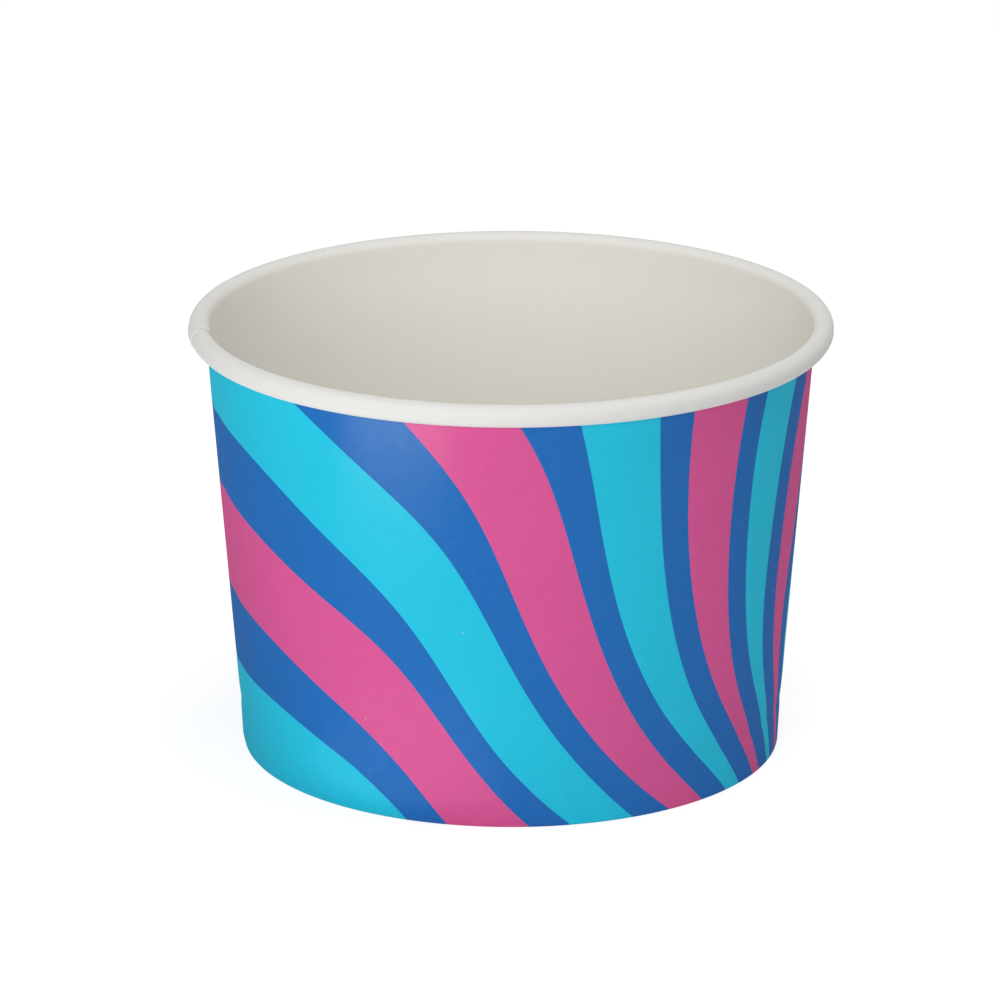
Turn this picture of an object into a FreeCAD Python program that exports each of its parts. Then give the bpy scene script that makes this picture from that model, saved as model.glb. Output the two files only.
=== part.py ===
"""Paper dessert cup: one wrapped board sidewall with a rolled rim, and a pressed-in base disc.

FreeCAD 1.1 macro, millimetres. The cup stands on z = 0 with its axis on +Z. The sidewall is one
sheet, white inside and printed outside. Its top edge is rolled outward into the rim, its bottom
edge is folded in and up as a hem that clamps the disc's skirt, and its side edges overlap.
"""
import FreeCAD, Part
import os

import Sketcher
from FreeCAD import Rotation, Vector

# Driving dimensions, in millimetres and degrees
SIZES = {
    "rim_diameter": 97.0,
    "foot_diameter": 81.7,
    "cup_height": 67.0,
    "board_thickness": 0.38,
    "curl_width": 3.08,
    "curl_height": 3.32,
    "curl_gap": 0.12,
    "hem_taper": 2.8,
    "hem_gap": 0.15,
    "disc_thickness": 0.3,
    "disc_bend_radius": 0.6,
    "recess_depth": 6.1,
    "skirt_gap": 0.12,
    "waist_rise": 0.3,
    "seam_overlap": 5.4,
    "seam_bearing": 183.6,
}

# Values that follow from the driving dimensions, each after the ones that it needs
WORKED = {
    "waist_level": "Sizes.recess_depth + Sizes.disc_thickness + Sizes.waist_rise",
    "waist_radius": "Sizes.foot_diameter / 2 + tan(Sizes.hem_taper) * waist_level",
    "white_radius": "Sizes.curl_width / 2",
    "print_radius": "white_radius - Sizes.board_thickness",
    "roll_reach": "Sizes.rim_diameter / 2 - white_radius",
    "roll_level": "Sizes.cup_height - white_radius",
    "roll_drop": "Sizes.curl_height - Sizes.curl_width",
    "roll_foot": "roll_level - roll_drop",
    "cone_run": "roll_reach - waist_radius",
    "cone_rise": "roll_level - waist_level",
    "cone_lean": "asin(print_radius / hypot(cone_run; cone_rise))",
    "wall_taper": "(atan(cone_run / cone_rise) - cone_lean) / 1 deg",
    "roll_tuck": "print_radius - Sizes.curl_gap + roll_drop * sin(wall_taper)",
    "roll_end": "-acos(-roll_tuck / white_radius) / 1 deg - wall_taper",
    "mitre": "Sizes.board_thickness / cos((wall_taper - Sizes.hem_taper) / 2)",
    "mitre_lean": "(wall_taper + Sizes.hem_taper) / 2",
    "board_across": "Sizes.board_thickness / cos(Sizes.hem_taper)",
    "skirt_across": "Sizes.disc_thickness / cos(Sizes.hem_taper)",
    "bend_level": "Sizes.recess_depth + Sizes.disc_thickness - Sizes.disc_bend_radius",
    "bend_across": "Sizes.disc_bend_radius / cos(Sizes.hem_taper)",
    "hem_level": "bend_level - Sizes.hem_gap",
    "skirt_level": "Sizes.board_thickness + Sizes.skirt_gap",
    "seam_lift": "Sizes.board_thickness / 2",
    "seam_sweep": "Sizes.seam_overlap / Sizes.rim_diameter * 360 / pi",
    "seam_foot": "2 * Sizes.board_thickness",
    "seam_head": "Sizes.cup_height - Sizes.curl_height - Sizes.board_thickness",
}

# Straight steps in a quarter turn: a turned arc this thin meshes into thousands of facets
OUTSIDE_STEPS = 4
HIDDEN_STEPS = 2

START, END = 1, 2
ORIGIN = (-1, 1)

doc = FreeCAD.newDocument("dessert_cup")


def make_sheet(label, cells):
    """A spreadsheet with a name, a value and an alias in each row."""
    sheet = doc.addObject("Spreadsheet::Sheet", label)
    for row, (alias, value) in enumerate(cells.items(), start=1):
        sheet.set(f"A{row}", alias)
        sheet.set(f"B{row}", str(value))
        sheet.setAlias(f"B{row}", alias)
    return sheet


make_sheet("Sizes", SIZES)
worked = make_sheet("Worked", {alias: "=" + formula for alias, formula in WORKED.items()})
doc.recompute()


def rounded(centre, radius, first, last, steps):
    """Corners along a round, as formulas, from its first angle to its last."""
    across, up = centre
    angles = [f"(({first}) * {steps - step} + ({last}) * {step}) / {steps}" for step in range(steps + 1)]
    return [(f"{across} + ({radius}) * cos({angle})", f"{up} + ({radius}) * sin({angle})")
            for angle in angles]


def hem_corner(boards, skirts, level):
    """A corner in the hem zone: so many layers in from the printed face, at a height."""
    layers = f"{boards} * Worked.board_across - {skirts} * Worked.skirt_across"
    return f"Sizes.foot_diameter / 2 + tan(Sizes.hem_taper) * ({level}) - {layers}", level


def cone_corner(radius, level):
    """A corner on the cone: the face that runs tangent to a radius of the roll, at a height."""
    rise = f"tan(Worked.wall_taper) * (Worked.roll_level - ({level}))"
    return f"Worked.roll_reach - ({radius}) / cos(Worked.wall_taper) - {rise}", level


def roll_face(radius, steps, end="-90"):
    """One face of the rolled sheet: from the cone's top, over the roll and under it to its end."""
    over, under = ("Worked.roll_reach", "Worked.roll_level"), ("Worked.roll_reach", "Worked.roll_foot")
    face = rounded(over, radius, "180 - Worked.wall_taper", "90", steps)
    face += rounded(over, radius, "90", "0", steps)[1:]
    face += rounded(under, radius, "0", "-90", steps)
    if end != "-90":
        face += rounded(under, radius, "-90", end, steps // 2)[1:]
    return face


def turn(body, label, outlines, sweep="360"):
    """Draws closed outlines in the body's XZ plane and turns them about the cup's axis."""
    sketch = body.newObject("Sketcher::SketchObject", label + "_section")
    plane = next(item for item in body.Origin.OriginFeatures if item.Role == "XZ_Plane")
    sketch.AttachmentSupport = [(plane, "")]
    sketch.MapMode = "FlatFace"
    for corners in outlines:
        places = [Vector(*[worked.evalExpression(formula) for formula in corner], 0) for corner in corners]
        lines = [sketch.addGeometry(Part.LineSegment(a, b)) for a, b in zip(places, places[1:] + places[:1])]
        for index, (line, place) in enumerate(zip(lines, places)):
            sketch.addConstraint(Sketcher.Constraint("Coincident", lines[index - 1], END, line, START))
            for kind, value, formula in zip(("DistanceX", "DistanceY"), place, corners[index]):
                size = sketch.addConstraint(Sketcher.Constraint(kind, *ORIGIN, line, START, value))
                sketch.setExpression(f"Constraints[{size}]", formula)
    feature = body.newObject("PartDesign::Revolution", label)
    feature.Profile = sketch
    feature.ReferenceAxis = (sketch, ["V_Axis"])
    feature.setExpression("Angle", sweep)


def add_wall(body):
    """The sheet all round: hem folded in round the disc's skirt, cone, and rolled rim."""
    board, hem_top = "Sizes.board_thickness", "Worked.hem_level"
    crease, inner_crease = hem_corner(1, 0, board), hem_corner(1, 1, board)
    waist = ("Worked.waist_radius - Worked.mitre * cos(Worked.mitre_lean)",
             "Worked.waist_level + Worked.mitre * sin(Worked.mitre_lean)")
    hem = rounded(crease, board, "-Sizes.hem_taper", "-90", HIDDEN_STEPS)
    hem += rounded(inner_crease, board, "-90", "-180 - Sizes.hem_taper", HIDDEN_STEPS)
    hem += [hem_corner(2, 1, hem_top), hem_corner(1, 1, hem_top), inner_crease, crease, waist]
    white_face = roll_face("Worked.white_radius", OUTSIDE_STEPS, "Worked.roll_end")
    print_face = roll_face("Worked.print_radius", HIDDEN_STEPS, "Worked.roll_end")
    turn(body, "wall", [hem + white_face + print_face[::-1] + [("Worked.waist_radius", "Worked.waist_level")]])


def add_white_overlap(body):
    """The overlap on the white side: half a board proud, up the cone and round the roll."""
    outer, middle = "Worked.white_radius + Worked.seam_lift", "Worked.white_radius - Worked.seam_lift"
    proud = [cone_corner(outer, "Worked.waist_level")] + roll_face(outer, OUTSIDE_STEPS)
    sunk = [cone_corner(middle, "Worked.waist_level")] + roll_face(middle, OUTSIDE_STEPS)
    turn(body, "white_overlap", [proud + sunk[::-1]], "Worked.seam_sweep")


def add_print_overlap(body):
    """The overlap on the printed side: half a board proud, up the wall, and up the folded-in hem."""
    def strip(corners, outward):
        proud = [(f"{across} + {outward} * Worked.seam_lift", up) for across, up in corners]
        sunk = [(f"{across} - {outward} * Worked.seam_lift", up) for across, up in corners]
        return proud + sunk[::-1]

    wall = [hem_corner(0, 0, "Worked.seam_foot"), hem_corner(0, 0, "Worked.waist_level"),
            cone_corner("Worked.print_radius", "Worked.seam_head")]
    hem = [hem_corner(2, 1, "Worked.seam_foot"), hem_corner(2, 1, "Worked.hem_level")]
    turn(body, "print_overlap", [strip(wall, 1), strip(hem, -1)], "Worked.seam_sweep")


def add_sidewall():
    """The wrapped sheet, turned so that its overlap starts at the seam's bearing."""
    body = doc.addObject("PartDesign::Body", "sidewall")
    add_wall(body)
    add_white_overlap(body)
    add_print_overlap(body)
    body.Placement.Rotation = Rotation(Vector(0, 0, 1), 0)
    body.setExpression("Placement.Rotation.Angle", "Sizes.seam_bearing")
    return body


def add_base_disc():
    """The disc, flat across the recess, its edge bent down into the skirt that the hem grips."""
    body = doc.addObject("PartDesign::Body", "base_disc")
    bend = (hem_corner(1, 0, "Worked.bend_level")[0] + " - Worked.bend_across", "Worked.bend_level")
    inner_radius = "Sizes.disc_bend_radius - Sizes.disc_thickness"
    outline = [("0", "Sizes.recess_depth + Sizes.disc_thickness")]
    outline += rounded(bend, "Sizes.disc_bend_radius", "90", "-Sizes.hem_taper", HIDDEN_STEPS)
    outline += [hem_corner(1, 0, "Worked.skirt_level"), hem_corner(1, 1, "Worked.skirt_level")]
    outline += rounded(bend, inner_radius, "-Sizes.hem_taper", "90", HIDDEN_STEPS)
    outline += [("0", "Sizes.recess_depth")]
    turn(body, "disc", [outline])
    return body


bodies = [add_sidewall(), add_base_disc()]
doc.recompute()
for item in doc.Objects:
    if "Invalid" in item.State:
        raise RuntimeError(f"{item.Label} did not compute")

os.makedirs("parts", exist_ok=True)
for body in bodies:
    if body.Shape.isNull() or not body.Shape.isValid():
        raise RuntimeError(f"{body.Label} has no valid shape")
    body.Shape.exportStep(f"parts/{body.Label}.step")
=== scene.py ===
"""Paper dessert cup: a wrapped board sidewall with a rolled rim, and a pressed-in base disc.

Metres, +Z up, the cup standing on z = 0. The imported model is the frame. Two new pieces stand for its
two nodes, because the real board has true bends, a printed face and a white face.
"""
import math

import bpy
import numpy as np
from bpy.props import FloatProperty, FloatVectorProperty, PointerProperty
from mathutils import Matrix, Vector


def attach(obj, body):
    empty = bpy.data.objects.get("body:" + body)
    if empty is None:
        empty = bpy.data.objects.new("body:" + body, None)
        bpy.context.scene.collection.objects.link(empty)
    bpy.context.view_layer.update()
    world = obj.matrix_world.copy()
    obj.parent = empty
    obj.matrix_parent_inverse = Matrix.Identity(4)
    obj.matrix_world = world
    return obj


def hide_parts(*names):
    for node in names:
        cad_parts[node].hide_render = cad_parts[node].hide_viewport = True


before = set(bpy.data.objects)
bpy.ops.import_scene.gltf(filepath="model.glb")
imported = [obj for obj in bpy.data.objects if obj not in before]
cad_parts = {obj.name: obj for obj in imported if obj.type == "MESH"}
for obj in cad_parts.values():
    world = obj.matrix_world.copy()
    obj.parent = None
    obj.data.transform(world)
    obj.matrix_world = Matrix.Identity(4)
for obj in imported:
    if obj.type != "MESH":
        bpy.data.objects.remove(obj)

bl_info = {
    "name": "Paper Dessert Cup",
    "version": (1, 0, 0),
    "blender": (4, 5, 0),
    "location": "View3D > Sidebar > Dessert Cup",
    "description": "Builds a striped paper dessert cup and a plain studio round it",
    "category": "Add Mesh",
}

# Where the ink changes on the half of the print that is seen, in degrees round the cup and in
# millimetres up the wall. A row runs round the cup and ends at the left edge of the last ribbon.
EDGES_ROUND = {
    62: (228.6, 251.7, 272.5, 283.2, 298.2, 305.5, 319.2, 325.5, 337.8, 346,
         359),
    50: (217, 249.4, 263.1, 279.1, 286.1, 299.3, 305.3, 317.2, 323.2, 334, 340.8,
         353.5),
    35: (225.4, 245.6, 264, 271.1, 284.7, 290.9, 301.6, 307.8, 317.5, 323.3, 331.9,
         337.6, 348),
    15: (236.1, 257, 264, 278.1, 285.5, 296.7, 303.4, 311.9, 318.3, 324.7, 331,
         335, 341, 345.5),
    0.5: (247.5, 256.2, 273.2, 282, 295.7, 304.6, 313.8, 321.5, 326.6, 332.7, 336.2, 341.2,
          343.4, 348.6, 350.5),
}
# A column runs up the wall where the stripes lie nearly level, from the first ribbon's lower edge
EDGES_UP = {
    193: (14.6, 26.5, 42.7, 54.6),
    210: (13.4, 24.2, 39.7, 52.2),
}
# Stripe counts in the middle of the first and of the last dark ribbon
FIRST_RIBBON, LAST_RIBBON = 0.5, 7.5
# The print looks the same turned end for end about either place: angle, height, and stripe count
PRINT_CENTRES = np.array([(193.0, 34.6, 1.0), (373.0, 34.6, 9.0)])
# Degrees on each side of a centre over which the turned print takes over
JOIN = 9.0
# The print's two nets of controls: first place, spacing and count, round the cup and up the wall
STRIPE_NET = (139, 18, 17), (-17.3, 17.3, 7)
RIBBON_NET = (103, 45, 9), (-34.6, 34.6, 5)
# How firmly the nets are held even, and the ribbons' half width where no reading tells it
STIFFNESS, USUAL_HALF_WIDTH = 0.03, 0.2
MILLIMETRES = 1000

# Points along each part of the sheet's section, from its folded-in top edge to the roll's end
SHEET_POINTS = {"hem_top": 7, "inner_fold": 7, "foot": 3, "fold": 7, "hem": 7, "waist": 5,
                "wall": 46, "roll": 20, "roll_side": 2, "roll_under": 16}
# Points along the disc's top, its bend and its skirt
DISC_POINTS = 30, 9, 8
# Degrees from one column of points to the next, and across the thin columns that are cut edges
SIDEWALL_STEP, DISC_STEP, SLIVER = 1.25, 1.5, 0.01
# Radius inside the folds of the foot, as a share of the board's thickness
CREASE_SHARE = 1 / 16
# An edge is shaded crisp where its faces turn by more than this
CRISP = math.radians(35)
# Distances along the sheet over which the lap's step fades, and half the width of the strip at the
# foot where it stays flush
FADE, LONG_FADE, FLUSH = 0.001, 0.002, 0.0004
# Usual radius of the wall, which makes an angle a distance round the sheet
SHEET_RADIUS = 0.0445

# Slow waves of the wall: how many go round, their start in radians, their twist in radians for
# each metre up, and their share
WAVES = (2, 0.6, 0, 0.6), (3, 4.0, 30, 0.4)
# Heights over which the waves begin above the hem and end below the roll
WAVES_BEGIN, WAVES_END = (0.006, 0.02), (0.055, 0.062)
# The pressed ring at the waist and the swell above it: height, spread and share of each
PRESS, SWELL = (0.0071, 0.0011, -1.0), (0.0115, 0.0028, 0.5)
# Heights over which the pressed ring begins
PRESS_BEGINS = 0.0058, 0.0066

# Places of the finishes in the sidewall's list of materials
PRINTED, WHITE, CUT = range(3)


# Shader nodes

# Places of a Mix node's colour sockets, whose names aren't unique
MIX_FACTOR, MIX_FIRST, MIX_SECOND, MIX_RESULT = 0, 6, 7, 2


class Wires:
    """The nodes of one material or of the world."""

    def __init__(self, tree):
        self.tree = tree
        tree.nodes.clear()

    def node(self, kind, settings=None, sockets=None):
        """Adds a node of a type: its settings first, then the values or links of its sockets."""
        made = self.tree.nodes.new(kind)
        for name, value in (settings or {}).items():
            setattr(made, name, value)
        for name, value in (sockets or {}).items():
            if isinstance(value, Socket):
                self.tree.links.new(value.end, made.inputs[name])
            else:
                made.inputs[name].default_value = value
        return made

    def read(self, kind, output, settings=None, sockets=None):
        """Adds a node and gives one of its outputs."""
        return Socket(self, self.node(kind, settings, sockets).outputs[output])

    def maths(self, operation, *values):
        """The Math node of an operation on numbers and sockets."""
        return self.read("ShaderNodeMath", 0, {"operation": operation}, dict(enumerate(values)))

    def place(self):
        """Where a point is on the object, in metres."""
        return self.read("ShaderNodeTexCoord", "Object")

    def kept(self, name, output="Fac"):
        """A value that the mesh keeps under a name."""
        return self.read("ShaderNodeAttribute", output, {"attribute_name": name})

    def noise(self, vector, scale, detail, roughness):
        """Soft noise from 0 to 1 about one half."""
        sockets = {"Vector": vector, "Scale": scale, "Detail": detail, "Roughness": roughness}
        return self.read("ShaderNodeTexNoise", 0, None, sockets)

    def step(self, value, empty, full):
        """0 on empty's side, 1 on full's side and smooth between. Either may be the lower."""
        sockets = {"Value": value, "From Min": empty, "From Max": full}
        return self.read("ShaderNodeMapRange", 0, {"interpolation_type": "SMOOTHSTEP"}, sockets)

    def mix(self, factor, *colours):
        """The first colour where the factor is 0 and the second where it is 1. A colour is a socket
        or three numbers."""
        first, second = (each if isinstance(each, Socket) else (*each, 1) for each in colours)
        sockets = {MIX_FACTOR: factor, MIX_FIRST: first, MIX_SECOND: second}
        return self.read("ShaderNodeMix", MIX_RESULT, {"data_type": "RGBA"}, sockets)

    def shaded(self, colour, shade):
        """A colour times a number."""
        sockets = {0: colour, "Scale": shade}
        return self.read("ShaderNodeVectorMath", 0, {"operation": "SCALE"}, sockets)

    def stretched(self, vector, scale):
        """A position with its three parts scaled."""
        return self.read("ShaderNodeVectorMath", 0, {"operation": "MULTIPLY"}, {0: vector, 1: scale})

    def relief(self, height, strength, depth):
        """The normal of a fine relief, whose depth is in metres."""
        sockets = {"Height": height, "Strength": strength, "Distance": depth}
        return self.read("ShaderNodeBump", 0, None, sockets)


class Socket:
    """A node's output: Python's operators on it add Math nodes."""

    def __init__(self, wires, end):
        self.wires, self.end = wires, end

    def __add__(self, other):
        return self.wires.maths("ADD", self, other)

    def __sub__(self, other):
        return self.wires.maths("SUBTRACT", self, other)

    def __rsub__(self, other):
        return self.wires.maths("SUBTRACT", other, self)

    def __mul__(self, other):
        return self.wires.maths("MULTIPLY", self, other)

    __radd__ = __add__
    __rmul__ = __mul__


# Sections

def smooth(x, low, high):
    """0 below low, 1 above high, and 3t^2 - 2t^3 between, t being the share of the way."""
    t = np.clip((x - low) / (high - low), 0, 1)
    return t * t * (3 - 2 * t)


def straight(first, last, count):
    """Middle line of a flat run of board, evenly divided, and the direction that its printed side
    faces: the run's own direction turned a quarter turn clockwise."""
    share = np.linspace(0, 1, count)[:, None]
    run = (last - first) / np.linalg.norm(last - first)
    return first + share * (last - first), np.tile((run[1], -run[0]), (count, 1))


def bent(centre, radius, first, last, count):
    """Middle line of a bend, evenly divided from one angle to another. The printed side faces away
    from the centre where the angle grows and towards it where the angle falls."""
    angle = np.linspace(first, last, count)
    out = np.stack([np.cos(angle), np.sin(angle)], -1)
    return centre + radius * out, np.sign(last - first) * out


def joined(parts):
    """One line of parts that follow each other, each meeting point kept once: its points and the
    directions that its printed side faces."""
    return [np.concatenate([values[0][:1], *(each[1:] for each in values)]) for values in zip(*parts)]


def board_line(sizes):
    """Middle line of the sheet in section, from the top of its folded-in hem, down, under, up the
    wall and round the rim's roll: points, printed-side directions, and distances along the sheet
    from the middle of its foot. Also gives the distances at which the parts begin and the roll
    ends."""
    board, lean, quarter = sizes.board_thickness, sizes.hem_taper, math.pi / 2
    crease = board * CREASE_SHARE
    waist = sizes.recess_depth + sizes.disc_thickness + sizes.waist_rise
    waist_radius = sizes.foot_diameter / 2 + math.tan(lean) * waist
    white, printed = sizes.curl_width / 2, sizes.curl_width / 2 - board
    middle = (white + printed) / 2
    over = np.array([sizes.rim_diameter / 2 - white, sizes.cup_height - white])
    drop = sizes.curl_height - sizes.curl_width
    under = over - (0, drop)
    run, rise = over[0] - waist_radius, over[1] - waist
    taper = math.atan2(run, rise) - math.asin(printed / math.hypot(run, rise))
    tuck = printed - sizes.curl_gap + drop * math.sin(taper)
    roll_end = -math.acos(-tuck / white) - taper

    def corner(layers, level):
        """A corner in the hem: so thick a layer in from the printed face, at a height."""
        face = sizes.foot_diameter / 2 + math.tan(lean) * level
        return np.array([face - layers / math.cos(lean), level])

    fold = corner(board, board + crease)
    inner_fold = corner(board + sizes.disc_thickness, board + crease)
    bend = board / 2 + crease
    hem_side = np.array([math.cos(lean), -math.sin(lean)])
    up_hem = np.array([math.sin(lean), math.cos(lean)])
    wall_side = np.array([math.cos(taper), -math.sin(taper)])
    up_wall = np.array([math.sin(taper), math.cos(taper)])
    hem_top = sizes.recess_depth + sizes.disc_thickness - sizes.disc_bend_radius - sizes.hem_gap
    hem_length = (hem_top - fold[1]) / math.cos(lean)
    wall_top = over - wall_side * middle
    hem_start = fold + hem_side * bend
    rise_to_waist = np.linalg.solve(np.stack([up_hem, -up_wall], -1), wall_top - hem_start)[0]
    soft = sizes.waist_softness
    tangent = soft * math.tan((taper - lean) / 2)
    waist_start = hem_start + (rise_to_waist - tangent) * up_hem
    waist_end = hem_start + rise_to_waist * up_hem + tangent * up_wall
    inner_foot = inner_fold - hem_side * bend
    courses = (
        (straight, inner_foot + up_hem * hem_length, inner_foot),
        (bent, inner_fold, bend, 2 * quarter - lean, 3 * quarter),
        (straight, inner_fold - (0, bend), fold - (0, bend)),
        (bent, fold, bend, -quarter, -lean),
        (straight, hem_start, waist_start),
        (bent, waist_start + hem_side * soft, soft, 2 * quarter - lean, 2 * quarter - taper),
        (straight, waist_end, wall_top),
        (bent, over, middle, 2 * quarter - taper, 0),
        (straight, over + (middle, 0), under + (middle, 0)),
        (bent, under, middle, 0, roll_end),
    )
    parts = [make(*values, count) for (make, *values), count in zip(courses, SHEET_POINTS.values())]
    points, sides = joined(parts)
    starts = np.cumsum([0] + [count - 1 for count in SHEET_POINTS.values()])
    at = dict(zip((*SHEET_POINTS, "roll_end"), starts))
    along = np.concatenate([[0], np.cumsum(np.linalg.norm(np.diff(points, axis=0), axis=1))])
    along -= along[at["foot"] + 1]
    return points, sides, along, {name: along[place] for name, place in at.items()}


# The side lap and the wall's unevenness

def lap_width(sizes):
    """Degrees round the cup that the side lap takes up."""
    return math.degrees(sizes.lap_overlap / (sizes.rim_diameter / 2))


def lap_lift(angle, sizes):
    """How far each face stands off at the side lap, in half boards, at angles in degrees measured
    from the lap's start. The white side rises to 1 before the lap, drops from 1 to -1 at its end
    and eases back. The printed side falls to -1, jumps to 1 at the start and eases back after."""
    width, ease = lap_width(sizes), sizes.lap_ease
    ahead, after = smooth(angle, 360 - ease, 360), 1 - smooth(angle, width, width + ease)
    white = np.where(angle <= width, 1.0, -after) + ahead
    printed = np.where(angle <= width, 1.0, after) - ahead
    return white, printed


def lap_zones(along, at, sizes):
    """Share of the lap's lift at distances along the sheet, on the white side and on the printed
    side. The white side has it from the waist up, less in the roll and none at the roll's end. The
    printed side has it up to the roll, but not across the foot."""
    roll = at["roll"]
    white = smooth(along, at["waist"], at["waist"] + FADE) * (
        1 - smooth(along, at["roll_under"] + LONG_FADE, at["roll_end"])) * (
        1 - sizes.lap_squeeze * smooth(along, roll - LONG_FADE, roll + FADE))
    printed = smooth(np.abs(along), FLUSH, FADE) * (1 - smooth(along, roll - LONG_FADE, roll - FADE))
    return white, printed


def swelling(height, middle, spread, share):
    """A soft ring round the wall: its share times e to the power -((height - middle) / spread)^2."""
    return share * np.exp(-((height - middle) / spread) ** 2)


def settle(angle, height, sizes):
    """Small unevenness of the real wall, in metres outward, at angles in degrees. Slow waves, each a
    sine of the angle and the height, fade out at the hem and at the roll. A ring is pressed in at
    the waist, and a swell stands above it."""
    turn = np.radians(angle)
    waves = sum(share * np.sin(count * turn + start + twist * height)
                for count, start, twist, share in WAVES)
    free = smooth(height, *WAVES_BEGIN) * (1 - smooth(height, *WAVES_END))
    pressed = swelling(height, *PRESS) * smooth(height, *PRESS_BEGINS) + swelling(height, *SWELL)
    return sizes.wall_waves * free * waves + sizes.waist_press * pressed


# The print

def spline_shares(places, first, spacing, count):
    """Share of each evenly spaced control in a smooth line at some places. It is the cubic B-spline:
    the four controls round a place share it by the cubes of its distances to them."""
    place = (places - first) / spacing
    before = np.clip(np.floor(place), 1, count - 3).astype(int)
    part = (place - before)[:, None]
    four = np.concatenate([(1 - part) ** 3, 3 * part ** 3 - 6 * part ** 2 + 4,
                           1 + 3 * part + 3 * part ** 2 - 3 * part ** 3, part ** 3], axis=1) / 6
    shares = np.zeros((len(place), count))
    np.put_along_axis(shares, before[:, None] + np.arange(-1, 3), four, axis=1)
    return shares


def net_shares(angle, height, net):
    """Share of each control of a net: its share round the cup times its share up the wall."""
    across, up = spline_shares(angle, *net[0]), spline_shares(height, *net[1])
    return (across[:, :, None] * up[:, None, :]).reshape(len(angle), -1)


def net_bends(net):
    """Second differences between neighbouring controls of a net, round the cup and up the wall."""
    columns, rows = net[0][2], net[1][2]
    each = np.eye(columns * rows).reshape(columns, rows, -1)
    return np.concatenate([np.diff(each, 2, axis=way).reshape(-1, columns * rows) for way in (0, 1)])


def read_edges():
    """Every reading as an angle, a height, the number of its ribbon and its side of it, with those
    that come within the stripe net's reach when they are turned end for end about either centre."""
    edges = []
    for level, row in EDGES_ROUND.items():
        back = np.arange(len(row))[::-1]
        edges += zip(row, [level] * len(row), LAST_RIBBON - (back + 1) // 2, 2 * (back % 2) - 1)
    for place, column in EDGES_UP.items():
        ahead = np.arange(len(column))
        edges += zip([place] * len(column), column, FIRST_RIBBON + ahead // 2, 2 * (ahead % 2) - 1)
    edges = np.array(edges)
    turned = [np.hstack([2 * centre - edges[:, :3], -edges[:, 3:]]) for centre in PRINT_CENTRES]
    edges = np.concatenate([edges, *turned])
    first, spacing, count = STRIPE_NET[0]
    return edges[(edges[:, 0] > first + spacing) & (edges[:, 0] < first + spacing * (count - 2))]


def lay_out_print():
    """Controls of the stripe net and of the ribbon net. At an ink edge the stripe count equals its
    ribbon's number plus or minus the ribbon's half width. The controls meet that by least squares
    over all readings, with bends kept small."""
    angle, height, ribbon, side = read_edges().T
    stripes, halves = net_shares(angle, height, STRIPE_NET), net_shares(angle, height, RIBBON_NET)
    stripe_bends, half_bends = net_bends(STRIPE_NET) * STIFFNESS, net_bends(RIBBON_NET) * STIFFNESS
    usual = np.eye(halves.shape[1]) * STIFFNESS
    lines = np.block([
        [stripes, -side[:, None] * halves],
        [stripe_bends, np.zeros((len(stripe_bends), halves.shape[1]))],
        [np.zeros((len(half_bends), stripes.shape[1])), half_bends],
        [np.zeros((len(usual), stripes.shape[1])), usual],
    ])
    sums = np.zeros(len(lines))
    sums[:len(ribbon)] = ribbon
    sums[-len(usual):] = STIFFNESS * USUAL_HALF_WIDTH
    controls = np.linalg.lstsq(lines, sums, rcond=None)[0]
    return np.split(controls, [stripes.shape[1]])


def print_at(angle, height):
    """Stripe count and ribbon half width at angles in degrees and heights in millimetres. The count
    is even in the middle of a light stripe, odd in a warm one, and a half in a dark ribbon. Near a
    centre the print and the print turned about it share a place, by the smooth step across it."""
    stripe_controls, half_controls = lay_out_print()
    shape = np.broadcast_shapes(angle.shape, height.shape)
    angle, height = (np.broadcast_to(values, shape).ravel() for values in (angle, height))
    first, last = PRINT_CENTRES
    seen = smooth(angle, first[0] - JOIN, first[0] + JOIN) * (
        1 - smooth(angle, last[0] - JOIN, last[0] + JOIN))
    centre = np.where((angle < first[0] + JOIN)[:, None], first, last)
    count, half = np.zeros((2, len(angle)))
    for turned, share in ((False, seen), (True, 1 - seen)):
        here = share > 0
        place = np.stack([angle, height])[:, here]
        place = 2 * centre[here, :2].T - place if turned else place
        controls = net_shares(*place, STRIPE_NET) @ stripe_controls
        count[here] += share[here] * (2 * centre[here, 2] - controls if turned else controls)
        half[here] += share[here] * (net_shares(*place, RIBBON_NET) @ half_controls)
    return count.reshape(shape), half.reshape(shape)


# Meshes

def new_piece(name, node, points, faces, finishes, kept=None, finish_of_face=None):
    """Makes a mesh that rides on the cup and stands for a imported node. kept holds values for each
    face corner by name: one number or three."""
    mesh = bpy.data.meshes.new(name)
    mesh.from_pydata(points.tolist(), [], faces)
    for key, values in (kept or {}).items():
        vector = values.ndim == 2
        field = mesh.attributes.new(key, "FLOAT_VECTOR" if vector else "FLOAT", "CORNER")
        field.data.foreach_set("vector" if vector else "value", values.ravel().astype(np.float32))
    for finish in finishes:
        mesh.materials.append(finish)
    if finish_of_face is not None:
        mesh.polygons.foreach_set("material_index", finish_of_face.astype(np.int32))
    mesh.shade_smooth()
    mesh.set_sharp_from_angle(angle=CRISP)
    mesh.update()
    piece = bpy.data.objects.new(name, mesh)
    bpy.context.scene.collection.objects.link(piece)
    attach(piece, "root")
    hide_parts(node)


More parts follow.
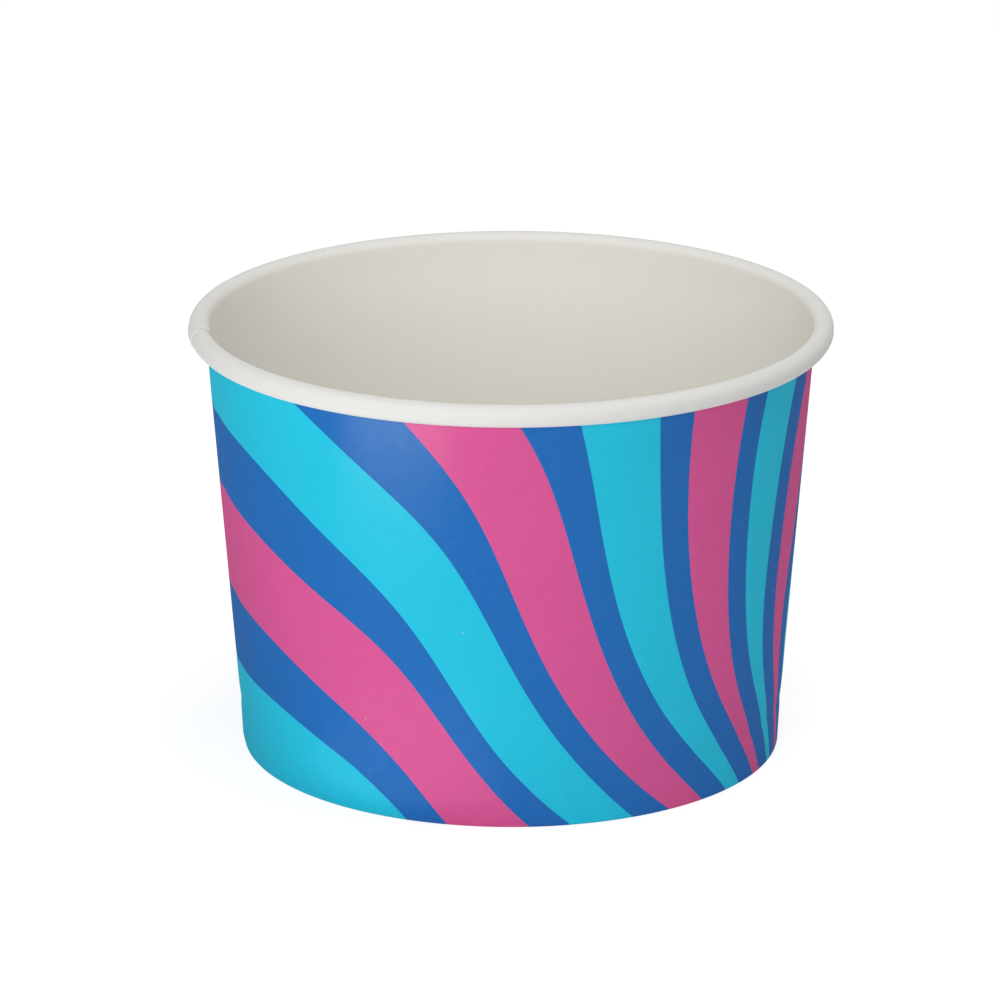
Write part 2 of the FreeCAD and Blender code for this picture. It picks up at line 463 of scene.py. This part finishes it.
def sidewall_mesh(sizes):
    """The wrapped sheet as a closed surface: its section loop, printed face up and white face back,
    carried round the axis. At an angle a, a point is (r cos a, r sin a, z), where (r, z) is the
    middle line moved along the board's normal by half a board plus the lap's lift, and outward by
    the wall's settling."""
    points, sides, along, at = board_line(sizes)
    start, width = math.degrees(sizes.lap_bearing), lap_width(sizes)
    angle = np.unique(np.concatenate([
        np.arange(0, 360, SIDEWALL_STEP), [width, width + SLIVER, 360 - SLIVER, 360]]).round(5))
    bearing = start + angle[:, None]
    white_lift, printed_lift = lap_lift(angle[:, None], sizes)
    white_zone, printed_zone = lap_zones(along, at, sizes)
    printed_lift = printed_lift * printed_zone
    printed_lift = np.where(printed_lift < 0, printed_lift * white_zone, printed_lift)
    half = sizes.board_thickness / 2
    outward = settle(bearing, points[:, 1], sizes) * (along > at["hem"])

    def face(side, lift):
        """Points of the printed face, side 1, or of the white one, side -1."""
        out = side * (half + half * lift)
        radius = points[:, 0] + out * sides[:, 0] + outward
        level = points[:, 1] + out * sides[:, 1]
        turn = np.radians(bearing)
        return np.stack([radius * np.cos(turn), radius * np.sin(turn), level], -1)

    white = face(-1, white_lift * white_zone)
    grid = np.concatenate([face(1, printed_lift), white[:, ::-1]], axis=1)
    columns, rows = len(angle) - 1, grid.shape[1]
    column, row = np.meshgrid(np.arange(columns), np.arange(rows), indexing="ij")
    right, above = column + 1, (row + 1) % rows
    faces = np.stack([column * rows + row, right % columns * rows + row,
                      right % columns * rows + above, column * rows + above], -1).reshape(-1, 4)
    corners = ((column, row), (right, row), (right, above), (column, above))
    kept = sheet_values(bearing, along, sizes, corners)

    last = len(along) - 1
    finish = np.where(row < last, PRINTED, WHITE)
    finish = np.where((row == last) | (row == rows - 1), CUT, finish)
    cut_start = (column == columns - 1) & (row < last) & (along[np.minimum(row, last)] > at["fold"])
    cut_end = np.isclose(angle[column], width) & (row > last)
    finish = np.where(cut_start | cut_end, CUT, finish)
    return grid[:-1].reshape(-1, 3), faces.tolist(), kept, finish.ravel()


def sheet_values(bearing, along, sizes, corners):
    """What the finishes read at each face corner: the print's stripe count and ribbon half width,
    and the place on the flat sheet, in metres round it and up it. Where the last column closes the
    round, it has the values of 360 degrees and not those of 0."""
    level = np.concatenate([along, along[::-1]])[None, :]
    count, half_width = print_at(bearing, np.minimum(level, sizes.cup_height) * MILLIMETRES)
    sheet = np.stack(np.broadcast_arrays(np.radians(bearing) * SHEET_RADIUS, level, 0.0), -1)
    return {
        "stripe_count": np.stack([count[corner] for corner in corners], -1).ravel(),
        "ribbon_half": np.stack([half_width[corner] for corner in corners], -1).ravel(),
        "sheet": np.stack([sheet[corner] for corner in corners], -2).reshape(-1, 3),
    }


def disc_mesh(sizes):
    """The pressed disc as a closed surface: a section from the axis over the crowned top, round the
    bend, down the skirt and back underneath, turned about the axis. The crown is a parabola."""
    thickness, lean = sizes.disc_thickness, sizes.hem_taper
    bend = sizes.disc_bend_radius - thickness / 2
    skirt_foot = sizes.board_thickness + sizes.skirt_gap
    level = sizes.recess_depth + thickness - sizes.disc_bend_radius
    outer = (sizes.foot_diameter / 2 + math.tan(lean) * level
             - (sizes.board_thickness + thickness / 2) / math.cos(lean))
    bend_start = np.array([outer, level])
    centre = bend_start - np.array([math.cos(lean), -math.sin(lean)]) * bend
    edge = centre + (0, bend)
    skirt_end = bend_start - np.array([math.tan(lean), 1]) * (level - skirt_foot)
    top_points, bend_points, skirt_points = DISC_POINTS
    points, under = joined([
        straight(edge * (0, 1), edge, top_points),
        bent(centre, bend, math.pi / 2, -lean, bend_points),
        straight(bend_start, skirt_end, skirt_points),
    ])
    crown = sizes.disc_crown * np.clip(1 - (points[:, 0] / centre[0]) ** 2, 0, None)
    points = points + crown[:, None] * (0, 1)
    section = np.concatenate([points - under * thickness / 2, (points + under * thickness / 2)[::-1]])
    poles, loop = section[[0, -1]], section[1:-1]
    turn = np.radians(np.arange(0, 360, DISC_STEP))
    columns, rows = len(turn), len(loop)
    height = np.broadcast_to(loop[:, 1], (columns, rows))
    body = np.stack([np.outer(np.cos(turn), loop[:, 0]), np.outer(np.sin(turn), loop[:, 0]), height], -1)
    grid = np.concatenate([[(0, 0, pole[1]) for pole in poles], body.reshape(-1, 3)])

    first = len(poles) + np.arange(columns) * rows
    following = np.roll(first, -1)
    row = np.arange(rows - 1)
    here, there = first[:, None] + row, following[:, None] + row
    faces = np.stack([here, here + 1, there + 1, there], -1).reshape(-1, 4).tolist()
    faces += np.stack([np.zeros_like(first), first, following], -1).tolist()
    faces += np.stack([np.ones_like(first), following + rows - 1, first + rows - 1], -1).tolist()
    return grid, faces


# Finishes. A noise is given by its scale, its detail and its roughness.

# Ink: fine mottle and slow clouds, how much each lightens it, and its shade where both are 0
INK_MOTTLE, INK_CLOUD = (900.0, 3.0, 0.6), (60.0, 2.0, 0.5)
MOTTLE_DEPTH, CLOUD_DEPTH, LEAST_SHADE = 0.08, 0.06, 0.93
# Where the middle of a dark ribbon lies between a light stripe, at 0, and a warm one, at 1
RIBBON_MIDDLE = 0.5
# Specks that the ink missed: scale, distances at which one ends and is full, and share of white
SPECK_SCALE, SPECK_END, SPECK_FULL, SPECK_SHARE = 160.0, 0.018, 0.012, 0.7
# Relief of the printed side: fibres drawn out up the sheet, pits, share of each, strength and depth
PRINT_FIBRES, PRINT_STRETCH, PRINT_PITS = (2600.0, 3.0, 0.6), (1.0, 0.5, 1.0), (700.0, 2.0, 0.5)
FIBRE_SHARE, PIT_SHARE = 0.45, 0.55
PRINT_RELIEF = 0.6, 0.0001
# Streaks of the varnish, drawn out round the cup, and where in the noise one ends and is full.
# The turn only picks which part of the noise they come from.
STREAKS, STREAK_STRETCH, STREAK_TURN = (1900.0, 2.0, 0.55), (0.3, 1.0, 1.0), math.radians(24)
STREAK_END, STREAK_FULL = 0.5, 0.66
# Varnish: share of the surface that shines, how blurred its sheen is, and its index
VARNISH_SHARE, VARNISH_BLUR, VARNISH_INDEX = 0.085, 0.25, 3.0
# Part of that share where fibres, pits and streaks are all 0, and what each of them adds
VARNISH_LEAST, VARNISH_SWING = 0.63, 0.3
# White side: soft clouds, fibres drawn out up the cup, and how much each of them shades it
BOARD_CLOUD, BOARD_FIBRES, BOARD_STRETCH = (90.0, 3.0, 0.55), (2200.0, 3.0, 0.6), (1.0, 1.0, 0.6)
CLOUD_SHADE, FIBRE_SHADE = 0.5, 0.3
# Share of the clouds and of the fibres in its relief, and the relief's strength and depth
BOARD_SHARE, BOARD_RELIEF = 0.5, (0.3, 0.00004)
# Painted light inside the cup: a lighter, creamier white that stands in for the light the cup's
# walls throw on each other. Distances up the sheet at which it begins, at the roll's crest, and is
# full, just below the roll, and what the fibres take from it
PAINTED_LIGHT_BEGINS, PAINTED_LIGHT_FULL, PAINTED_LIGHT_LOSS = 0.068, 0.0655, 0.2
# Pulp in a cut edge, and its relief
EDGE_PULP, EDGE_RELIEF = (3000.0, 4.0, 0.7), (0.5, 0.00005)
# Roughness where a finish's own noise is 0, and what that noise adds
PRINT_ROUGHNESS, BOARD_ROUGHNESS, EDGE_ROUGHNESS, ROUGHNESS_SWING = 0.6, 0.5, 0.75, 0.1
# Gloss of the film on the white side and of bare board
FILM_GLOSS, BARE_GLOSS = 0.15, 0.05


def new_finish(name):
    """A new material, and its empty nodes."""
    finish = bpy.data.materials.new(name)
    finish.use_nodes = True
    return finish, Wires(finish.node_tree)


def board_shader(wires, colour, roughness, normal, gloss=0.0, varnish=0.0):
    """The surface itself. Colour, roughness, varnish and fine relief may vary, gloss is even."""
    shader = wires.read("ShaderNodeBsdfPrincipled", 0, None, {
        "Base Color": colour, "Roughness": roughness, "Normal": normal, "Specular IOR Level": gloss,
        "Coat Weight": varnish, "Coat Roughness": VARNISH_BLUR, "Coat IOR": VARNISH_INDEX})
    wires.node("ShaderNodeOutputMaterial", None, {"Surface": shader})


def varnished_print(colours):
    """Printed outside of the board: three inks between crisp edges, faint mottle in the ink, rare
    pale specks where the ink missed the board, and a thin varnish over the board's fibres."""
    finish, wires = new_finish("varnished_print")
    place, sheet = wires.place(), wires.kept("sheet", "Vector")
    count, half = wires.kept("stripe_count"), wires.kept("ribbon_half")
    # The count folded back on itself: 0 in a light stripe's middle and 1 in a warm one's
    swing = wires.maths("PINGPONG", count, 1.0)
    warm = wires.maths("GREATER_THAN", swing, RIBBON_MIDDLE + half)
    light = wires.maths("LESS_THAN", swing, RIBBON_MIDDLE - half)
    ink = wires.mix(light, colours.dark_ink, colours.light_ink)
    ink = wires.mix(warm, ink, colours.warm_ink)
    mottle, cloud = wires.noise(place, *INK_MOTTLE), wires.noise(place, *INK_CLOUD)
    ink = wires.shaded(ink, mottle * MOTTLE_DEPTH + cloud * CLOUD_DEPTH + LEAST_SHADE)
    speck = wires.read("ShaderNodeTexVoronoi", "Distance", None, {"Vector": place, "Scale": SPECK_SCALE})
    missed = wires.step(speck, SPECK_END, SPECK_FULL) * SPECK_SHARE
    ink = wires.mix(missed, ink, colours.board_white)

    fibres = wires.noise(wires.stretched(sheet, PRINT_STRETCH), *PRINT_FIBRES)
    pits = wires.noise(place, *PRINT_PITS)
    normal = wires.relief(fibres * FIBRE_SHARE + pits * PIT_SHARE, *PRINT_RELIEF)
    drawn = wires.read("ShaderNodeMapping", 0, None, {
        "Vector": sheet, "Rotation": (0, 0, STREAK_TURN), "Scale": STREAK_STRETCH})
    streaks = wires.step(wires.noise(drawn, *STREAKS), STREAK_END, STREAK_FULL)
    varnish = ((fibres + pits + streaks) * VARNISH_SWING + VARNISH_LEAST) * VARNISH_SHARE
    roughness = mottle * ROUGHNESS_SWING + PRINT_ROUGHNESS
    board_shader(wires, ink, roughness, normal, varnish=varnish)
    return finish


def white_board(colours):
    """White side of the board: a thin film over long soft fibres, faintly clouded. Inside the cup
    it is painted lighter and creamier than on the roll: painted light for the light that the
    cup's walls throw on each other."""
    finish, wires = new_finish("white_board")
    place, sheet = wires.place(), wires.kept("sheet", "Vector")
    cloud = wires.noise(place, *BOARD_CLOUD)
    fibres = wires.noise(wires.stretched(place, BOARD_STRETCH), *BOARD_FIBRES)
    shade = cloud * CLOUD_SHADE + fibres * FIBRE_SHADE
    white = wires.mix(shade, colours.board_white, colours.board_shade)
    # Painted light: below the roll the white is painted lighter and creamier, for the light that the
    # cup's walls throw on each other
    up_sheet = wires.read("ShaderNodeSeparateXYZ", "Y", None, {"Vector": sheet})
    painted_light = wires.step(up_sheet, PAINTED_LIGHT_BEGINS, PAINTED_LIGHT_FULL) * (1 - fibres * PAINTED_LIGHT_LOSS)
    white = wires.mix(painted_light, white, colours.inside_painted_light)
    normal = wires.relief((fibres + cloud) * BOARD_SHARE, *BOARD_RELIEF)
    board_shader(wires, white, cloud * ROUGHNESS_SWING + BOARD_ROUGHNESS, normal, FILM_GLOSS)
    return finish


def cut_edge(colours):
    """The cut edge of the board: bare grey-white pulp with a fine grain."""
    finish, wires = new_finish("cut_edge")
    pulp = wires.noise(wires.place(), *EDGE_PULP)
    colour = wires.mix(pulp, colours.pulp, colours.board_white)
    normal = wires.relief(pulp, *EDGE_RELIEF)
    board_shader(wires, colour, pulp * ROUGHNESS_SWING + EDGE_ROUGHNESS, normal, BARE_GLOSS)
    return finish


# Stage: lamps, floor, surround and camera, in metres

# A lamp that hangs in the air: its size and its place. Both face the middle of the cup.
SOFT_LAMPS = {
    "key_lamp": ((0.45, 0.4), (-0.26, -0.88, 0.34)),
    "top_lamp": ((0.6, 0.6), (0.1, -0.1, 0.9)),
}
LAMP_TARGET = (0, 0, 0.035)
# A lamp that lies on the floor: its size, its bearing from the front and its reach from the axis
FLOOR_LAMPS = {
    "panel_lamp": ((0.12, 0.066), math.radians(-40), 0.197),
    "foot_lamp": ((0.05, 0.035), math.radians(-30), 0.062),
}
# Height of a lamp on the floor, and how far its target leans inward, which squares it to the cup
FLOOR_LAMP_HEIGHT, FLOOR_LAMP_LEAN = 0.0004, 0.001
# Floor: half its width, its grain, the shade of the darker grain, and glow lost to the shadow
FLOOR_HALF, FLOOR_GRAIN, FLOOR_SHADE, GLOW_LOSS = 3.0, (40.0, 2.0, 0.5), 0.98, 0.5
# Camera: its place, its target, width of its sensor and lens in millimetres, and range
CAMERA_PLACE, CAMERA_TARGET = (-0.001686, -0.90081, 0.32764), (-0.001686, 0.0, 0.037614)
SENSOR_WIDTH, LENS, CAMERA_RANGE = 36.0, 224.4, (0.05, 20.0)


def seen_straight(wires):
    """1 for a ray that comes from the camera, a reflection or a clear piece, and 0 for other light."""
    camera, glossy, clear = (wires.read("ShaderNodeLightPath", f"Is {kind} Ray")
                             for kind in ("Camera", "Glossy", "Transmission"))
    return wires.maths("MAXIMUM", wires.maths("MAXIMUM", camera, glossy), clear)


def build_floor(stage):
    """A wide level floor. A straight view finds it white, with the cup's shadow on it."""
    half = FLOOR_HALF
    corners = [(-half, -half, 0), (half, -half, 0), (half, half, 0), (-half, half, 0)]
    mesh = bpy.data.meshes.new("floor")
    mesh.from_pydata(corners, [], [(0, 1, 2, 3)])
    floor = bpy.data.objects.new("floor", mesh)
    bpy.context.scene.collection.objects.link(floor)
    finish, wires = new_finish("floor_paint")
    grain = wires.noise(wires.place(), *FLOOR_GRAIN)
    paint = wires.mix(grain, stage.floor, [FLOOR_SHADE * part for part in stage.floor])
    plain = wires.read("ShaderNodeBsdfDiffuse", 0, None, {"Color": paint})
    lit = wires.read("ShaderNodeBsdfDiffuse", 0, None, {"Color": wires.shaded(paint, stage.shadow)})
    glow = wires.read("ShaderNodeEmission", 0, None, {"Strength": 1 - GLOW_LOSS * stage.shadow})
    shown = wires.read("ShaderNodeAddShader", 0, None, {0: lit, 1: glow})
    surface = wires.read("ShaderNodeMixShader", 0, None, {0: seen_straight(wires), 1: plain, 2: shown})
    wires.node("ShaderNodeOutputMaterial", None, {"Surface": surface})
    mesh.materials.append(finish)


def build_lamps(stage):
    """A large soft lamp at the front left, a soft lamp above, and two panels lying face up on the
    floor: one puts the sheen below the rim, and one by the foot lights the lower wall."""
    for name, (size, place) in SOFT_LAMPS.items():
        add_lamp(name, getattr(stage, name), size, place, LAMP_TARGET)
    for name, (size, bearing, reach) in FLOOR_LAMPS.items():
        out = np.array([math.sin(bearing), -math.cos(bearing), 0])
        place = out * reach + (0, 0, FLOOR_LAMP_HEIGHT)
        add_lamp(name, getattr(stage, name), size, place, place + (0, 0, 1) - out * FLOOR_LAMP_LEAN)


def add_lamp(name, power, size, place, target):
    """A soft oblong lamp that the camera doesn't see."""
    lamp = bpy.data.lights.new(name, "AREA")
    lamp.shape, lamp.size, lamp.size_y = "RECTANGLE", *size
    lamp.energy = power
    holder = bpy.data.objects.new(name, lamp)
    holder.visible_camera = False
    aim(holder, place, target)
    bpy.context.scene.collection.objects.link(holder)


def aim(holder, place, target):
    """Puts a lamp or camera at a place and turns it to look at a target, level sideways."""
    away = Vector(place) - Vector(target)
    holder.location = place
    holder.rotation_euler = away.to_track_quat("Z", "Y").to_euler()


def build_surround(scene, stage):
    """Even light from all sides, and plain white wherever the background is seen."""
    world = bpy.data.worlds.new("surround")
    world.use_nodes = True
    wires = Wires(world.node_tree)
    strength = seen_straight(wires) * (1 - stage.surround) + stage.surround
    light = wires.read("ShaderNodeBackground", 0, None, {"Color": (1, 1, 1, 1), "Strength": strength})
    wires.node("ShaderNodeOutputWorld", None, {"Surface": light})
    scene.world = world


def build_camera(scene):
    """The photograph's view: low in front, a little above the rim."""
    camera = bpy.data.cameras.new("camera")
    camera.sensor_width, camera.lens = SENSOR_WIDTH, LENS
    camera.clip_start, camera.clip_end = CAMERA_RANGE
    holder = bpy.data.objects.new("camera", camera)
    aim(holder, CAMERA_PLACE, CAMERA_TARGET)
    scene.collection.objects.link(holder)
    scene.camera = holder


# Sizes and colours that a user would change

def length(name, description, default):
    """A size in metres."""
    return FloatProperty(name=name, description=description, default=default, min=0.0,
                         unit="LENGTH", precision=5)


def slope(name, description, degrees):
    """An angle, written in degrees."""
    return FloatProperty(name=name, description=description, default=math.radians(degrees),
                         subtype="ANGLE")


def share_of(name, description, default):
    """A share from none to all."""
    return FloatProperty(name=name, description=description, default=default, min=0.0, max=1.0)


def power(name, description, default):
    """A lamp's power."""
    return FloatProperty(name=name, description=description, default=default, min=0.0, unit="POWER")


def tone(name, description, default):
    """A colour."""
    return FloatVectorProperty(name=name, description=description, default=default, size=3,
                               min=0.0, max=1.0, subtype="COLOR")


class CupSizes(bpy.types.PropertyGroup):
    """Sizes of the board, the rolled rim, the hem and the base disc."""
    rim_diameter: length("Rim diameter", "Across the outside of the rolled rim", 0.097)
    foot_diameter: length("Foot diameter", "Across the wall where it would meet the table", 0.0817)
    cup_height: length("Cup height", "From the table to the top of the rim", 0.067)
    board_thickness: length("Board thickness", "Thickness of the sidewall's board", 0.00038)
    curl_width: length("Roll width", "Width of the rolled rim in section", 0.00308)
    curl_height: length("Roll height", "Height of the rolled rim in section", 0.00332)
    curl_gap: length("Roll gap", "Gap between the end of the roll and the wall", 0.00012)
    hem_gap: length("Hem gap", "Gap between the folded-in hem and the disc", 0.00015)
    disc_thickness: length("Disc thickness", "Thickness of the base disc's board", 0.0003)
    disc_bend_radius: length("Disc bend", "Outer radius of the bend at the disc's edge", 0.0006)
    disc_crown: length("Disc crown", "How far the middle of the disc stands up", 0.00025)
    recess_depth: length("Recess depth", "From the table to the underside of the disc", 0.0061)
    skirt_gap: length("Skirt gap", "Gap between the disc's skirt and the fold", 0.00012)
    waist_rise: length("Waist rise", "From the top of the disc to the wall's change of slope", 0.0003)
    waist_softness: length("Waist softness", "Radius of the bend where the wall changes slope", 0.04)
    waist_press: length("Waist press", "How far the wall is pressed in just above the disc", 0.00008)
    wall_waves: length("Wall waves", "How far the wall swings in and out round the cup", 0.00006)
    lap_overlap: length("Side lap", "Width of the overlap down the side, at the rim", 0.0054)
    lap_bearing: slope("Lap bearing", "Where the side lap starts, from +X", 183.6)
    lap_squeeze: share_of("Lap squeeze", "Share of the lap's step lost in the roll", 0.45)
    lap_ease: FloatProperty(name="Lap ease", default=3.0, min=0.5,
                            description="Degrees over which the board eases beside the lap")
    hem_taper: slope("Hem taper", "Lean of the wall beside the hem", 2.8)


class CupColours(bpy.types.PropertyGroup):
    """Colours of the inks and of the board, and the painted light inside the cup."""
    light_ink: tone("Light ink", "Ink of the light stripes", (0.005, 0.53, 0.73))
    warm_ink: tone("Warm ink", "Ink of the warm stripes", (0.67, 0.085, 0.29))
    dark_ink: tone("Dark ink", "Ink of the dark ribbons", (0.002, 0.135, 0.46))
    board_white: tone("Board white", "White face of the board", (0.768, 0.764, 0.736))
    board_shade: tone("Board shade", "Cloudier parts of the white face", (0.748, 0.739, 0.711))
    # Painted light: a lighter, creamier white painted inside the cup, for the light its walls throw on
    # each other
    inside_painted_light: tone("Inside painted light", "White face inside the cup, under its film", (0.885, 0.865, 0.81))
    pulp: tone("Pulp", "Darker pulp in a cut edge", (0.62, 0.6, 0.56))


class CupStage(bpy.types.PropertyGroup):
    """The floor and the lamps."""
    floor: tone("Floor", "Colour of the floor", (0.9, 0.9, 0.9))
    shadow: share_of("Shadow", "How much of the cup's shadow the floor shows", 0.4)
    surround: FloatProperty(name="Surround", description="Strength of the even light",
                            default=0.34, min=0.0)
    key_lamp: power("Key lamp", "Power of the large soft lamp at the left", 3.1)
    top_lamp: power("Top lamp", "Power of the soft lamp above", 3.5)
    panel_lamp: power("Panel lamp", "Power of the low panel that gives the sheen", 0.15)
    foot_lamp: power("Foot lamp", "Power of the small panel by the foot", 0.003)


# Operators and panel

class CUP_OT_sidewall(bpy.types.Operator):
    """Builds the wrapped sidewall with its rolled rim, hem and side lap"""
    bl_idname = "cup.sidewall"
    bl_label = "Sidewall"

    def execute(self, context):
        colours = context.scene.cup_colours
        points, faces, kept, finish = sidewall_mesh(context.scene.cup_sizes)
        finishes = [varnished_print(colours), white_board(colours), cut_edge(colours)]
        new_piece("wrapped_sidewall", "sidewall", points, faces, finishes, kept, finish)
        return {"FINISHED"}


class CUP_OT_base_disc(bpy.types.Operator):
    """Builds the base disc that is pressed in above the foot, in the sidewall's white board"""
    bl_idname = "cup.base_disc"
    bl_label = "Base Disc"

    def execute(self, context):
        points, faces = disc_mesh(context.scene.cup_sizes)
        finish = bpy.data.materials["white_board"]
        new_piece("pressed_disc", "base_disc", points, faces, [finish])
        return {"FINISHED"}


class CUP_OT_stage(bpy.types.Operator):
    """Builds the floor, the lamps, the background and the camera"""
    bl_idname = "cup.stage"
    bl_label = "Stage"

    def execute(self, context):
        stage = context.scene.cup_stage
        build_floor(stage)
        build_lamps(stage)
        build_surround(context.scene, stage)
        build_camera(context.scene)
        context.scene.view_settings.view_transform = "Standard"
        return {"FINISHED"}


class CUP_PT_panel(bpy.types.Panel):
    """Lists the cup's pieces, its stage, its sizes and its colours"""
    bl_idname = "CUP_PT_panel"
    bl_label = "Dessert Cup"
    bl_space_type = "VIEW_3D"
    bl_region_type = "UI"
    bl_category = "Dessert Cup"

    def draw(self, context):
        for step in OPERATORS:
            self.layout.operator(step.bl_idname)
        for group in (context.scene.cup_sizes, context.scene.cup_colours, context.scene.cup_stage):
            column = self.layout.column()
            for name in group.__annotations__:
                column.prop(group, name)


OPERATORS = (CUP_OT_sidewall, CUP_OT_base_disc, CUP_OT_stage)
CLASSES = (CupSizes, CupColours, CupStage, *OPERATORS, CUP_PT_panel)


def register():
    for item in CLASSES:
        bpy.utils.register_class(item)
    bpy.types.Scene.cup_sizes = PointerProperty(type=CupSizes)
    bpy.types.Scene.cup_colours = PointerProperty(type=CupColours)
    bpy.types.Scene.cup_stage = PointerProperty(type=CupStage)


def unregister():
    del bpy.types.Scene.cup_stage
    del bpy.types.Scene.cup_colours
    del bpy.types.Scene.cup_sizes
    for item in reversed(CLASSES):
        bpy.utils.unregister_class(item)


def main():
    """Builds the cup and its stage."""
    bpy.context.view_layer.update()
    register()
    bpy.ops.cup.sidewall()
    bpy.ops.cup.base_disc()
    bpy.ops.cup.stage()


if __name__ == "__main__":
    main()
